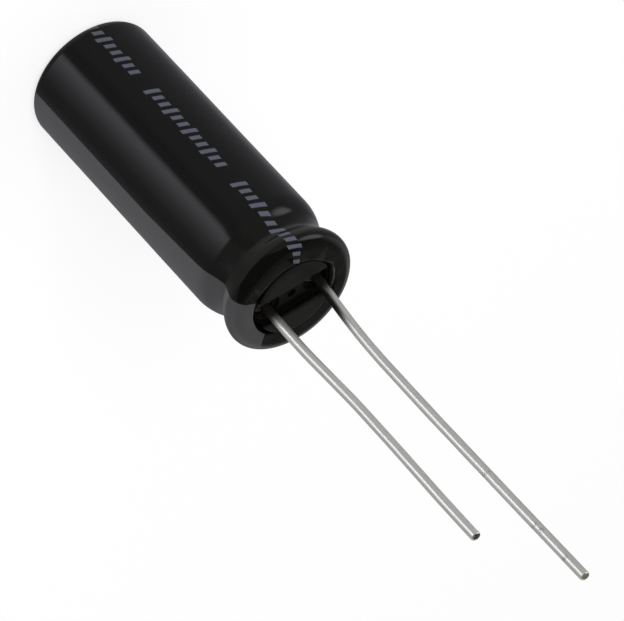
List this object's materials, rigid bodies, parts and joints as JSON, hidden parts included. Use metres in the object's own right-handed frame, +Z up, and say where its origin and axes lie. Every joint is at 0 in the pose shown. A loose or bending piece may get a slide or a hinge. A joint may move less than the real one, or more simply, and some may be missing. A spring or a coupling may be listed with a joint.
{
  "type": "electrolytic capacitor",
  "caption": "Radial electrolytic capacitor: sleeved can with a rolled groove, rubber bung and a long and a short wire lead.",
  "frame": {"origin": "centre of the flat top of the can, on the surface that it stands on", "axes": "+Z up along the can's axis towards the leads, +X towards the short lead and the printed stripe"},
  "size_m": [0.0084, 0.0084, 0.0471],
  "materials": {
    "sleeve_film": "glossy shrunk film",
    "can_metal": "drawn, satin",
    "bung_rubber": "moulded, matt",
    "tinned_wire": "tinned, half bright",
    "weld": "dull",
    "tab_metal": "pressed",
    "etched_foil": "etched, matt grey",
    "plain_foil": "rolled",
    "separator_paper": "soaked paper",
    "tape": "thin tape"
  },
  "bodies": {
    "root": {"sleeve": "sleeve_film", "can": "can_metal", "bung": "bung_rubber", "anode_lead": "tinned_wire", "cathode_lead": "tinned_wire", "anode_weld": "weld", "cathode_weld": "weld", "anode_tab": "tab_metal", "cathode_tab": "tab_metal", "anode_foil": "etched_foil", "cathode_foil": "plain_foil", "inner_paper": "separator_paper", "outer_paper": "separator_paper", "element_tape": "tape"}
  },
  "joints": []
}
